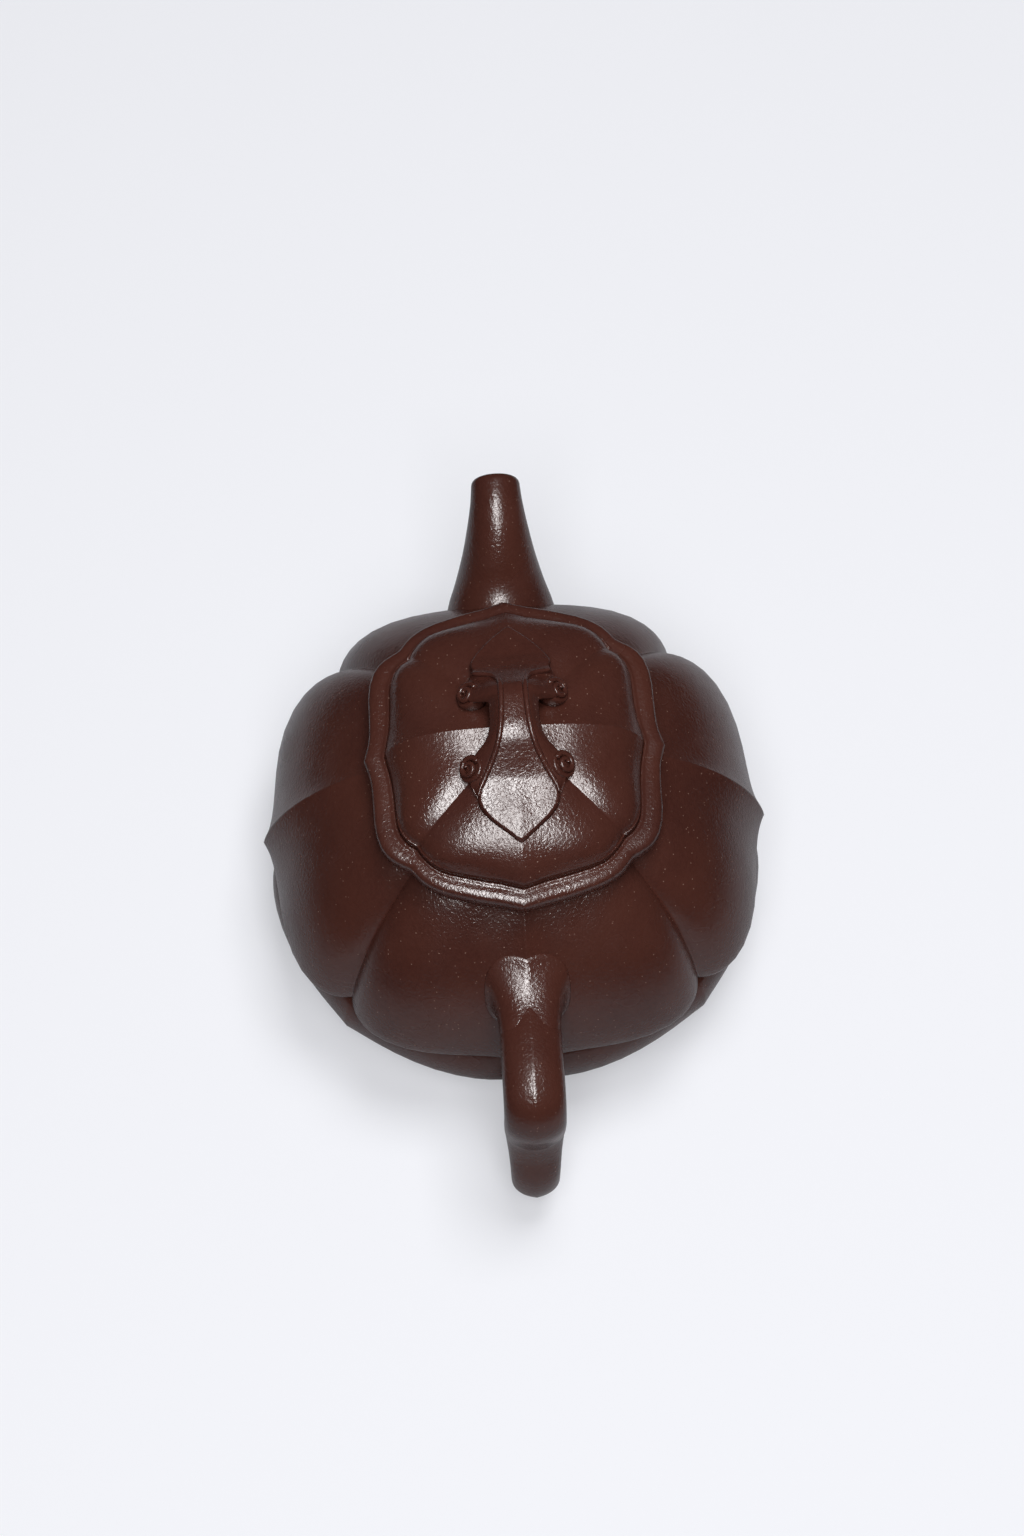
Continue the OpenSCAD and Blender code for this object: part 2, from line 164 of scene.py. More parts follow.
# The ear leaves the wall this much over the height of its root, and rises this much more
EAR_LIFT = 0.3
EAR_RISE = 0.08
# Middle line of the ear, from its root on the upper wall round to the lower wall
EAR_LINE = [(-47, 44.4), (-55, 44.9), (-61, 44.9), (-65.3, 43.4), (-67.3, 39.6), (-66.8, 35),
            (-66.2, 30), (-67.5, 24), (-70, 18), (-69.6, 13), (-64, 10), (-58, 9.5)]
# Plan of each ring of petals: how far it swells, how far its ridge points out, how far its crease cuts in
WALL_PLAN = (0.061, 0.055, 0.11)
LOWER_PLAN = (0.004, 0.02, 0.035)
ROUND = (0, 0, 0)
# Degrees over which a ridge or a crease dies away
CUSP = 6.0
# Reach of the lid by the angle in degrees from its front or back ridge (0) to a side ridge (90), as a share
# of the reach at the front: the foot of the dome, then the outer edge of the band
FOOT_TURN = [(0, 1), (5.8, 0.9776), (11.1, 0.9664), (22.4, 0.9813), (29.2, 1.0075), (36, 1.0336),
             (40.6, 1.033), (44.4, 1.027), (48, 1.017), (51.5, 1.034), (56, 1.0373), (61, 1.015),
             (67.3, 0.9683), (74.4, 0.9366), (80.4, 0.929), (86.7, 0.9418), (90, 0.9515)]
EDGE_TURN = [(0, 1), (4.8, 0.983), (9.8, 0.973), (19.8, 0.98), (25.7, 0.993), (30.6, 1.01),
             (34.6, 1.0186), (39, 1.023), (42.5, 1.018), (45.5, 1.014), (48.5, 1.032), (52.4, 1.0565),
             (56.3, 1.0665), (60.4, 1.0565), (65.3, 1.0316), (71.1, 0.993), (77.1, 0.967),
             (82.1, 0.958), (86.9, 0.971), (90, 0.988)]
# The neck, where the ridges have died away over a last few millimetres
NECK_R = MOUTH_R + MOUTH_W
NECK_FADE = 4.0
NECK_Z = BELLY_Z + CROWN_H * sqrt(1 - (NECK_R / BODY_R) ** 2)
LID_Z = NECK_Z + LID_STAND
RIM_Z = LID_Z - RIM_T
DOME_Z = LID_Z - DOME_STEP
CROWN_Z = DOME_Z + DOME_H
# Columns of half a petal, in degrees from its ridge, closer where it folds
FOLDS = (0, 0.4, 0.9, 1.6, 2.6, 4, 6, 9, 13, 18, 23, 28, 32.5, 36, 38.5, 40.5, 42, 43.2, 44, 44.6, 45)


# ---------- the pot's curves ----------
def lobe(fold, plan):
    """Radius of a petal's plan over its round, by the angle away from the petal's ridge."""
    swell, ridge, crease = plan
    return (1 + swell * (1 - cos(radians(4 * fold))) - ridge * (1 - exp(-fold / CUSP))
            - crease * exp((fold - 45) / CUSP))


def fold_of(x, y, turn=0.0):
    """Angle in degrees from the nearest ridge."""
    return abs((degrees(atan2(y, x)) + turn + 405) % 90 - 45)


def bulge(z, middle, height):
    """Share of its full reach that a wall has at height z."""
    return sqrt(max(0.01, 1 - ((z - middle) / height) ** 2))


def fade(r):
    """Ridges and creases die away just before the wall meets the round neck."""
    return max(0.0, min(1.0, (r - NECK_R) / NECK_FADE))


def upper_ridge(z):
    """Reach of the upper wall over its ridges."""
    return BODY_R * bulge(z, BELLY_Z, CROWN_H)


def lower_ridge(z):
    """Reach of the lower wall over its ridges."""
    return LOWER_R * bulge(z, LOWER_Z, LOWER_OVER if z > LOWER_Z else LOWER_UNDER)


def upper_x(y, z):
    """Distance along X from the axis to the upper wall at side offset y and height z."""
    r = upper_ridge(z)
    x = r
    for _ in range(6):
        reach = r * lobe(fold_of(x, y), [p * fade(r) for p in WALL_PLAN])
        x = sqrt(max(reach * reach - y * y, 1))
    return x


def lower_x(y, z):
    """The same for the lower wall, whose petals are turned by half a petal."""
    x = lower_ridge(z)
    for _ in range(6):
        reach = lower_ridge(z) * lobe(fold_of(x, y, 45), LOWER_PLAN)
        x = sqrt(max(reach * reach - y * y, 1))
    return x


def smooth_line(points, x):
    """Value at x of a smooth curve through (x, value) points."""
    if x <= points[0][0]:
        return points[0][1]
    if x >= points[-1][0]:
        return points[-1][1]
    i = max(k for k, (at, _) in enumerate(points[:-1]) if at <= x)

    def slope(k):
        before, after = points[max(k - 1, 0)], points[min(k + 1, len(points) - 1)]
        return (after[1] - before[1]) / (after[0] - before[0])
    (a, p), (b, q) = points[i], points[i + 1]
    span, s = b - a, (x - a) / (b - a)
    return (p * (1 + 2 * s) * (1 - s) ** 2 + slope(i) * span * s * (1 - s) ** 2
            + q * s * s * (3 - 2 * s) - slope(i + 1) * span * s * s * (1 - s))


def lid_angle(u, y):
    """Angle in degrees from the lid's nearer front or back ridge: 90 at a side ridge."""
    return degrees(atan2(abs(y), abs(u)))


def dome_reach(angle, share):
    """Reach of the dome's petals, rounder towards the crown."""
    square = DOME_SQUARE * sin(radians(2 * angle)) ** 2 * (1 - share ** 8) * min(1, share / 0.3)
    grown = PLAN_AT_CROWN + (1 - PLAN_AT_CROWN) * share * share
    return 1 + (smooth_line(FOOT_TURN, angle) - 1) * grown + square


def dome_profile(share):
    """Height of the dome over its foot, at a share of its reach."""
    return DOME_H * max(0, 1 - min(1, share) ** DOME_FULL) ** (1 / DOME_FULL)


def relief(r, angle, share):
    """How far the dome rises at a side ridge and drops into a crease, at a distance and angle."""
    from_ridge = r * cos(radians(angle))
    from_crease = abs(r * sin(radians(angle - 45 - CREASE_LEAN * share ** 3)))
    ridge_end, crease_end = max(0, (1 - share) / RIDGE_FADE), max(0, (1 - share) / CREASE_FADE)
    rise = RIDGE_RISE * (1 - sin(min(1, from_ridge / RIDGE_SOFT) * pi / 2)) * min(1, ridge_end)
    drop = DOME_FALL + CREASE_DROP * exp(-from_crease / CREASE_SOFT)
    return (rise - drop) * min(1, r / CROWN_CALM) * min(1, crease_end)


def dome_at(x, y, smooth=False):
    """Height of the dome over a point of its plan, or without its ridges and creases where smooth."""
    u = x / LID_OVAL
    r, angle = hypot(u, y), lid_angle(u, y)
    share = r / DOME_R
    for _ in range(4):
        share = min(1, r / (DOME_R * dome_reach(angle, share)))
    fall = -DOME_FALL * min(1, r / CROWN_CALM) if smooth else relief(r, angle, share)
    return DOME_Z + dome_profile(share) + fall


def shape_lid(piece, share_at, reach_at):
    """Pulls a round ring to the lid's plan, and works the ridges and creases into the dome's skin, whose
    shares are under 1. share_at gives how far out on the lid a point is, or None to leave it round. reach_at
    gives the reach for an angle and that share."""
    for v in piece.data.vertices:
        u, y = v.co.x / MM, v.co.y / MM
        r, share = hypot(u, y), share_at(hypot(u, y), v.co.z / MM)
        if share is not None and r > 0.01:
            angle = lid_angle(u, y)
            angle += CREASE_LEAN * min(1, share) ** 3 * max(0, 2 - max(share, 1)) * sin(radians(2 * angle))
            r *= reach_at(angle, share)
            u = (r if u > 0 else -r) * cos(radians(angle))
            y = (r if y > 0 else -r) * sin(radians(angle))
            if share < RELIEF_END:
                v.co.z += relief(r, angle, share) * MM
        v.co.x, v.co.y = u * LID_OVAL * MM, y * MM


# ---------- the maker's hand: small moves on the piece being shaped ----------
# Points closer than this become one
WELD = 0.002 * MM


def let_go():
    """Leaves the last piece, so that the next operator touches only its own."""
    if bpy.context.object and bpy.context.object.mode != "OBJECT":
        bpy.ops.object.mode_set(mode="OBJECT")
    bpy.ops.object.select_all(action="DESELECT")


def first_point(name, at):
    """A new piece of one point, open for shaping, its object at the origin."""
    let_go()
    bpy.ops.mesh.primitive_plane_add(size=MM)
    piece = bpy.context.object
    piece.name = piece.data.name = name
    bpy.ops.object.mode_set(mode="EDIT")
    bpy.ops.mesh.merge(type="CENTER")
    bpy.ops.transform.translate(value=[c * MM for c in at])
    return piece


def draw_line(points, start):
    """Extrudes the last point along a drawn profile."""
    last = Vector(start)
    for p in points:
        step = Vector(p) - last
        bpy.ops.mesh.extrude_vertices_move(TRANSFORM_OT_translate={"value": step * MM})
        last = Vector(p)


def select_all():
    """Takes hold of the whole piece."""
    bpy.ops.mesh.select_all(action="SELECT")


def finish(piece, smooth=180):
    """Closes the piece: doubles merged, faces turned out, shaded smooth up to an angle."""
    if piece.mode != "EDIT":
        bpy.ops.object.mode_set(mode="EDIT")
    select_all()
    bpy.ops.mesh.remove_doubles(threshold=WELD)
    bpy.ops.mesh.normals_make_consistent(inside=False)
    bpy.ops.object.mode_set(mode="OBJECT")
    bpy.ops.object.transform_apply(location=True, rotation=True, scale=True)
    if smooth >= 180:
        bpy.ops.object.shade_smooth()
    else:
        bpy.ops.object.shade_smooth_by_angle(angle=radians(smooth))
    return piece


def add_modifier(piece, kind, **settings):
    """Adds a modifier with its settings and applies it."""
    bpy.ops.object.mode_set(mode="OBJECT")
    modifier = piece.modifiers.new(kind.title(), kind)
    for key, value in settings.items():
        setattr(modifier, key, value)
    bpy.ops.object.modifier_apply(modifier=modifier.name)


# ---------- petalled rings ----------
def spin_petal(plan_at, turn):
    """Spins the drawn profile from a ridge to the next crease, pulls each column to the petal's plan, and
    repeats it round the pot. plan_at gives the plan for a point's radius and height."""
    for here, there in zip(FOLDS, FOLDS[1:]):
        bpy.ops.mesh.spin(steps=1, angle=radians(there - here), center=(0, 0, 0), axis=(0, 0, 1), dupli=False)
    select_all()
    bpy.ops.mesh.remove_doubles(threshold=WELD)
    mesh = bmesh.from_edit_mesh(bpy.context.object.data)
    columns = {}
    for v in mesh.verts:
        fold = abs(degrees(atan2(v.co.y, v.co.x)))
        fold = min(FOLDS, key=lambda f: abs(f - fold))
        r, z = hypot(v.co.x, v.co.y) / MM, v.co.z / MM
        columns.setdefault((fold, tuple(plan_at(r, z))), []).append(v)
    bpy.ops.mesh.select_mode(type="VERT")
    for (fold, plan), column in columns.items():
        if not any(plan):
            continue
        bpy.ops.mesh.select_all(action="DESELECT")
        for v in column:
            v.select_set(True)
        mesh.select_flush_mode()
        pull = lobe(fold, plan)
        bpy.ops.transform.resize(value=(pull, pull, 1), center_override=(0, 0, 0))
    piece = bpy.context.object
    add_modifier(piece, "MIRROR", use_axis=(False, True, False), merge_threshold=2 * WELD)
    bpy.ops.object.mode_set(mode="EDIT")
    for angle in (90, 180):
        select_all()
        bpy.ops.mesh.duplicate()
        bpy.ops.transform.rotate(value=radians(angle), orient_axis="Z", center_override=(0, 0, 0))
    select_all()
    if turn:
        bpy.ops.transform.rotate(value=radians(turn), orient_axis="Z", center_override=(0, 0, 0))


def round_plan(r, z):
    """The plan of a ring thrown round."""
    return ROUND


def thrown_ring(name, profile, plan_at=round_plan, turn=0.0):
    """A closed profile of (radius, height) points made into a ring, petalled by plan_at."""
    start = (profile[0][0], 0, profile[0][1])
    piece = first_point(name, start)
    draw_line([(r, 0, z) for r, z in profile[1:]] + [start], start)
    select_all()
    spin_petal(plan_at, turn)
    return finish(piece)


def curve_points(at, count):
    """Points of a curve at even shares of its way."""
    return [at(k / count) for k in range(count + 1)]


def upper_wall():
    """The upper half: a petalled shell from the rolled edge over the seam up to the round neck."""
    low = SEAM_Z + SEAM_ROLL * 1.5
    inner_r, inner_h = BODY_R - WALL, CROWN_H - WALL
    inner_top = BELLY_Z + inner_h * sqrt(1 - (NECK_R / inner_r) ** 2)

    def outside(s):
        z = low + (NECK_Z - low) * sin(s * pi / 2)
        return upper_ridge(z), z

    def inside(s):
        z = low + (inner_top - low) * cos(s * pi / 2)
        return inner_r * bulge(z, BELLY_Z, inner_h), z

    def plan_at(r, z):
        """The luted face inside stays round."""
        return [round(p * fade(r), 4) for p in WALL_PLAN] if z > SEAM_Z + 1 or r > SEAM_IN_R + 2 else ROUND
    outer = curve_points(outside, 30)
    roll_r = outer[0][0] - SEAM_ROLL
    roll = [(SEAM_IN_R, SEAM_Z + SLIP), (roll_r, SEAM_Z + SLIP)]
    roll += [(roll_r + SEAM_ROLL * sin(radians(g)), low - (low - SEAM_Z - SLIP) * cos(radians(g)))
             for g in (20, 40, 60, 75)]
    return thrown_ring("wall_upper", roll + outer + curve_points(inside, 12), plan_at)


def lower_wall():
    """The lower half: a petalled bowl from the foot up to its tuck under the seam."""
    floor_z, top_z = BASE_T + WALL / 2, SEAM_Z - 0.05
    tuck_z, inner_top = LOWER_Z, top_z - 4

    def outside(s):
        z = FOOT_H + (top_z - FOOT_H) * (1 - cos(s * pi / 2))
        high = max(0.0, (z - tuck_z) / (top_z - tuck_z))
        return lower_ridge(z) - LOWER_INSET * min(1, (z - FOOT_H) / 9) - LOWER_TUCK * high ** 3, z

    def inside(s):
        z = floor_z + (inner_top - floor_z) * sin(s * pi / 2)
        return lower_ridge(z) - WALL, z

    def plan_at(r, z):
        """The foot and the luted face stay round."""
        petalled = r > BASE_R + 1 and (r > SEAM_IN_R + 1 or z < top_z - 1)
        return LOWER_PLAN if petalled else ROUND
    profile = curve_points(outside, 28) + [(SEAM_IN_R, top_z)] + curve_points(inside, 10)[:0:-1]
    profile += [(BASE_R + SLIP, floor_z), (BASE_R + SLIP, FOOT_H)]
    return thrown_ring("wall_lower", profile, plan_at, turn=45)


def rounded(r_in, r_out, low, high, soft, steps=4):
    """Profile of a ring of clay with softened edges."""
    corners = ((r_out - soft, low + soft, -90), (r_out - soft, high - soft, 0),
               (r_in + soft, high - soft, 90), (r_in + soft, low + soft, 180))
    return [(r + soft * cos(radians(g + 90 * k / steps)), z + soft * sin(radians(g + 90 * k / steps)))
            for r, z, g in corners for k in range(steps + 1)]


def small_rings():
    """Rings thrown round: the foot, the mouth, the lid's flange and the base."""
    foot_r, flange_r, flange_z = BASE_R + SLIP, MOUTH_R - FLANGE_GAP, RIM_Z - SLIP
    mouth_z = RIM_Z - 0.1
    foot = thrown_ring("foot_ring_worn", rounded(foot_r, foot_r + FOOT_W, 0, FOOT_H - 0.1, 0.7))
    mouth = thrown_ring("mouth_rim", rounded(MOUTH_R, NECK_R, mouth_z - MOUTH_H, mouth_z, 0.6))
    flange = thrown_ring("flange_ring",
                         rounded(flange_r - FLANGE_T, flange_r, flange_z - FLANGE_H, flange_z + 0.3, 0.8))
    base = thrown_ring("base_slab", [(0.0, 0.3), (BASE_R - 4, 0.3), (BASE_R - 3, 0), (BASE_R, 0),
                                     (BASE_R, BASE_T), (BASE_R - 2, BASE_T), (0.0, BASE_T)])
    return foot, mouth, flange, base


def lid_rim():
    """Band of the lid: its top falls slightly outwards between a crisp inner lip and a rounded outer edge."""
    outer, inner, low = LID_R, DOME_FOOT_R - 0.05, RIM_Z
    soft = 0.9
    points = [(inner, low), (outer - soft, low)]
    points += [(outer - soft + soft * sin(radians(g)), low + soft - soft * cos(radians(g)))
               for g in (25, 50, 75)]
    points += [(outer - 0.05, low + 1.2), (outer, low + 1.9), (outer, LID_Z - 1.8)]
    points += [(outer - back, LID_Z - down) for back, down in
               ((0.06, 1.4), (0.17, 1.1), (0.33, 0.86), (0.54, 0.67), (0.8, 0.54), (1.1, 0.42), (1.4, 0.34),
                (1.7, 0.3))]
    points += [(inner + on, LID_Z - down) for on, down in
               ((1.0, 0.3), (0.82, 0.27), (0.68, 0.19), (0.55, 0.1), (0.42, 0.03), (0.3, 0.0), (0.18, 0.03),
                (0.08, 0.14), (0.02, 0.35))]
    points += [(inner, LID_Z - DOME_STEP)]
    piece = thrown_ring("rim_band", points)

    def band_reach(angle, share):
        foot, edge = smooth_line(FOOT_TURN, angle), smooth_line(EDGE_TURN, angle)
        return foot + (edge - foot) * (share - 1)
    shape_lid(piece, lambda r, z: 1 + max(0.0, min(1.0, (r - inner) / (outer - inner))), band_reach)
    return piece


def lid_dome():
    """Four petals with soft side ridges and sharp creases."""
    foot, cavity = DOME_FOOT_R, MOUTH_R - FLANGE_GAP - FLANGE_T
    shares = [cos(k / 48 * pi / 2) for k in range(49)]
    arc = [(DOME_R * share, DOME_Z + dome_profile(share)) for share in shares
           if VENT_R + 0.4 < DOME_R * share < foot - 0.05]
    under = [(cavity * s, DOME_Z + dome_profile(cavity * s / DOME_R) - DOME_T)
             for s in (0.3, 0.5, 0.7, 0.85, 0.97)]
    points = [(foot, RIM_Z), (foot, LID_Z - 0.4)] + arc
    points += [(VENT_R + 0.2, CROWN_Z - 0.02), (VENT_R, CROWN_Z - 0.3), (VENT_R, CROWN_Z - DOME_T)]
    points += under + [(cavity, RIM_Z)]
    piece = thrown_ring("dome_petals", points)

    def share_at(r, z):
        """Shares of the outer skin; the cavity stays round."""
        skin = r > foot - 0.01 or z > DOME_Z + dome_profile(r / DOME_R) - 1.2
        return min(1.0, r / foot) if skin and r > VENT_R + 0.3 else None
    shape_lid(piece, share_at, dome_reach)
    return piece


# ---------- drawn tubes: spout and handle ----------
def along(path, t):
    """A smooth curve through the points of a path."""
    last = len(path) - 1
    s = min(t * last, last - 0.0001)
    i = int(s)
    u = s - i
    a, b, c, d = path[max(i - 1, 0)], path[i], path[i + 1], path[min(i + 2, last)]
    return [0.5 * (2 * q + (r - p) * u + (2 * p - 5 * q + 4 * r - w) * u * u
                   + (3 * q - p - 3 * r + w) * u ** 3)
            for p, q, r, w in zip(a, b, c, d)]


def heading(path, t):
    """Heading of a path, in radians from X towards Z."""
    a, b = along(path, max(t - 0.01, 0)), along(path, min(t + 0.01, 1))
    return atan2(b[1] - a[1], b[0] - a[0])


def draw_tube(name, stations, corner, keel=0.0, around=64):
    """Draws a tube in the XZ plane ring by ring. A station is x, z, heading, half width and half thickness in
    millimetres. corner squares the section off where it is over 2, and keel raises a ridge along its back."""
    let_go()
    bpy.ops.mesh.primitive_circle_add(vertices=around, radius=MM, rotation=(0, radians(90), 0))
    piece = bpy.context.object
    piece.name = piece.data.name = name
    bpy.ops.object.transform_apply(location=True, rotation=True, scale=True)
    bpy.ops.object.mode_set(mode="EDIT")
    mesh = bmesh.from_edit_mesh(piece.data)
    for v in mesh.verts:
        g = atan2(v.co.z, v.co.y)
        v.co *= (abs(cos(g)) ** corner + abs(sin(g)) ** corner) ** (-1 / corner)
        if v.co.z < 0:
            v.co.z *= 1 + keel * (0.6 - abs(v.co.y) / MM)
    bmesh.update_edit_mesh(piece.data)
    select_all()
    before = (0.0, 0.0, 0.0, 1.0, 1.0)
    for number, station in enumerate(stations):
        if number:
            bpy.ops.mesh.extrude_region()
        x, z, turn, across, thick = before
        bpy.ops.transform.translate(value=(-x * MM, 0, -z * MM))
        bpy.ops.transform.rotate(value=-turn, orient_axis="Y", center_override=(0, 0, 0))
        bpy.ops.transform.resize(value=(1, station[3] / across, station[4] / thick),
                                 center_override=(0, 0, 0))
        bpy.ops.transform.rotate(value=station[2], orient_axis="Y", center_override=(0, 0, 0))
        bpy.ops.transform.translate(value=(station[0] * MM, 0, station[1] * MM))
        before = station
    return piece


def close_ends(hollow):
    """Caps a solid tube's two ends, or joins them where the tube is drawn back inside itself."""
    bpy.ops.mesh.select_mode(type="EDGE")
    bpy.ops.mesh.select_all(action="DESELECT")
    bpy.ops.mesh.select_non_manifold(extend=False, use_wire=False, use_boundary=True, use_multi_face=False,
                                     use_non_contiguous=False, use_verts=False)
    if hollow:
        bpy.ops.mesh.bridge_edge_loops()
    else:
        bpy.ops.mesh.edge_face_add()
    bpy.ops.mesh.select_mode(type="VERT")


def spout():
    """The spout, drawn out to its lip between the line of its top and the line of its belly, then rolled over
    and drawn back inside as its bore."""
    rows = 36
    lines = [[p[0] for p in SPOUT_TOP], [p[1] for p in SPOUT_TOP], [p[0] for p in SPOUT_LOW],
             [p[1] for p in SPOUT_LOW], SPOUT_ACROSS]
    root_wall = ROOT_R - PORT_R - 0.2

    def station(row, inset):
        at = row / rows * (len(SPOUT_TOP) - 1)
        top_x, top_z, low_x, low_z, across = [smooth_line(list(enumerate(line)), at) for line in lines]
        turn = atan2(low_x - top_x, top_z - low_z)
        thick = hypot(top_x - low_x, top_z - low_z) / 2
        return [(top_x + low_x) / 2, (top_z + low_z) / 2, turn, across - inset, thick - inset]
    outer = [station(row, 0) for row in range(rows + 1)]
    lip = []
    for g in (15, 30, 45, 60, 75, 90, 110, 130, 150):
        ring = station(rows, SPOUT_T / 2 * (1 - cos(radians(g))))
        out = SPOUT_T * 0.9 * sin(radians(g))
        ring[0] += out * cos(ring[2])
        ring[1] += out * sin(ring[2])
        lip.append(ring)
    inner = [station(row, SPOUT_T + (root_wall - SPOUT_T) * (1 - row / rows) ** 3)
             for row in range(rows, -1, -1)]
    piece = draw_tube("spout_tube", outer + lip + inner, corner=2.05)
    close_ends(hollow=True)
    return finish(piece)


def strap_section():
    """Half width and half thickness of the strap, a little inside its solid."""
    return HANDLE_HALF - STRAP_INSET, HANDLE_THICK * 0.98


def handle():
    """The ear, drawn towards -X: a strap with softened edges, slimmer towards its lower root."""
    end_z = HANDLE_LOW_Z + 0.11 * (HANDLE_Z - HANDLE_LOW_Z)
    path = EAR_LINE + [(-(lower_x(0, end_z) - 1), end_z)]
    rows = 90
    wide, thick = strap_section()
    stations, last = [], 0.0
    for row in range(rows + 1):
        t = row / rows
        turn = heading(path, t)
        if row:
            turn -= 2 * pi * round((turn - last) / (2 * pi))
        last = turn
        narrow = max(0.0, min(1.0, (t - SLIM_FROM) / SLIM_OVER))
        half = wide - STRAP_SLIMMER * narrow * narrow * (3 - 2 * narrow)
        stations.append([*along(path, t), turn, half, thick])
    piece = draw_tube("handle_strap", stations, STRAP_CORNER, STRAP_KEEL, around=96)
    close_ends(hollow=False)
    return finish(piece, smooth=60)


# The collar's rings: share of the way from the strap out to the collar's edge, height over the wall, and how
# far the ring follows the wall
COLLAR_RINGS = [(1, -0.8, 1), (1, 0.1, 1), (0.99, 0.35, 1), (0.96, 0.55, 1), (0.9, 0.72, 1),
                (0.8, 0.95, 0.97), (0.68, 1.2, 0.9), (0.53, 1.55, 0.8), (0.38, 2, 0.65),
                (0.25, 2.6, 0.5), (0.15, 3.3, 0.35), (0.08, 4.1, 0.2), (0.035, 5, 0.08), (0, 6, 0),
                (-0.05, 7, 0)]


def handle_collar():
    """The thickened root of the handle: a crisp low edge on the wall that sweeps up into the strap."""
    root_x, around = upper_x(0, HANDLE_Z), 64
    wide, thick = strap_section()
    wide_more, thick_more = COLLAR_R - wide, COLLAR_R - 1.4 - thick
    stations = []
    for share, height, _ in COLLAR_RINGS:
        up = share if share < 0 else share ** 1.4
        stations.append([-root_x - height, HANDLE_Z + EAR_LIFT + min(EAR_RISE, 0.03 * height), 0.0,
                         wide + wide_more * share, thick + thick_more * up])
    piece = draw_tube("handle_collar_swept", stations, STRAP_CORNER, STRAP_KEEL, around)
    bpy.ops.object.mode_set(mode="OBJECT")
    for number, v in enumerate(piece.data.vertices):
        follow = COLLAR_RINGS[number // around][2]
        v.co.x -= (upper_x(v.co.y / MM, v.co.z / MM) - root_x) * follow * MM
    bpy.ops.object.mode_set(mode="EDIT")
    close_ends(hollow=False)
    return finish(piece, smooth=50)


# ---------- the ruyi knob ----------
# Along X, from the front leaf to the back leaf: height of the middle band over the crown
ARCH_LINE = [(-24, -8), (-18, -1.9), (-17, -1.45), (-16, -1.05), (-15, -0.72), (-14, -0.42),
             (-13, -0.12), (-12.2, 0.14), (-11.4, 0.5), (-10, 1.38), (-8.6, 2.38), (-7.2, 3.4),
             (-6, 4.3), (-5, 4.95), (-4.1, 5.4), (-3.2, 5.7), (-2, 5.97), (-0.6, 6.15), (1.2, 6.27),
             (3.4, 6.3), (5, 6.15), (6.2, 5.75), (7.3, 5), (8.4, 4.05), (9.5, 3.05), (10.6, 2.1),
             (11.6, 1.35), (12.6, 0.75), (13.8, 0.15), (15, -0.45), (16.2, -1.1), (17.5, -1.9),
             (24, -8)]
# Half width to the bead, half width to the flank's edge, and height of that edge over the crown
BEAD_LINE = [(-14.6, 7.85), (-12.8, 7.3), (-10.5, 6), (-8.3, 4.75), (-6.1, 3.7), (-3.9, 3.05),
             (-0.6, 2.6), (3.1, 2.4), (6.2, 2.4), (7.8, 2.6), (9, 3.2), (9.8, 4.1), (10.3, 5.2),
             (10.6, 6.4), (10.75, 7.6)]
FLANK_LINE = [(-15.4, 7.4), (-13.5, 8.4), (-11.5, 9.2), (-8.6, 9.4), (-6.8, 8.6), (-5.6, 7.5),
              (-4.3, 6.1), (-2.5, 5.2), (-0.5, 4.9), (2, 4.85), (3.5, 4.95), (4.2, 5.6), (4.6, 7),
              (5.1, 8.4), (6.2, 9.1), (7.3, 9.2), (9, 8.9), (10.8, 8.2), (12, 7.8), (13, 7.6)]
EDGE_LINE = [(-15.4, -2.4), (-13.5, -2), (-11.5, -1.1), (-8.6, -0.4), (-6.8, 0.2), (-5.6, 1.2),
             (-4.3, 2.4), (-2.5, 3.2), (-0.5, 3.5), (2, 3.55), (3.5, 3.3), (4.2, 2.6), (4.6, 1.6),
             (5.1, 0.9), (6.2, 0.5), (7.3, 0.4), (9, 0.1), (10.8, -0.6), (12, -1.3), (13, -1.7)]
# Outlines of the leaves: half width by the distance from the middle of the lid
FRONT_LEAF = [(9, 5), (10.5, 6), (12.8, 7.4), (14.3, 7.9), (15.8, 7.75), (17.4, 6.85), (19.1, 5.2),
              (21.2, 2.55), (22.6, 0.9), (23.2, 0.25)]
BACK_LEAF = [(9, 3.2), (10.5, 5.4), (12.2, 7.3), (14, 7.95), (15.4, 7.5), (16.9, 6.5), (20, 4), (22, 2),
             (23.3, 0.6), (23.7, 0.25)]
# Where the bridge ends over the leaves, where it starts to sink into them, its thickness, the groove that
# seats a bead, and the bead's radius
BRIDGE_FRONT = -15.4
BRIDGE_BACK = 13.0
SINK_FRONT = -11.6
SINK_BACK = 12.0
BRIDGE_T = 1.7
BEAD_SEAT = 0.9
BEAD_R = 0.55


def rounded_edge(at):
    """How deep a rolled edge has fallen, as a share, from its start (0) to its lip (1)."""
    return 1 - sqrt(max(0.0, 1 - at ** 2.5))


def ground(x, y):
    """The dome with its ridges smoothed over, where the leaves lie."""
    return dome_at(x, y, smooth=True)


def middle_band(x, y, half):
    """Top of the band that runs from leaf to leaf over the bridge and leaves them in a soft bend. half is its
    half width at x."""
    leaf_top = ground(x, y) + LEAF_T
    rise = CROWN_Z + smooth_line(ARCH_LINE, x) - ground(x, 0) - LEAF_T
    rise = (rise + sqrt(rise * rise + 0.02)) / 2
    return leaf_top + rise - 0.08 * min(rise, 1) * (y / half) ** 2


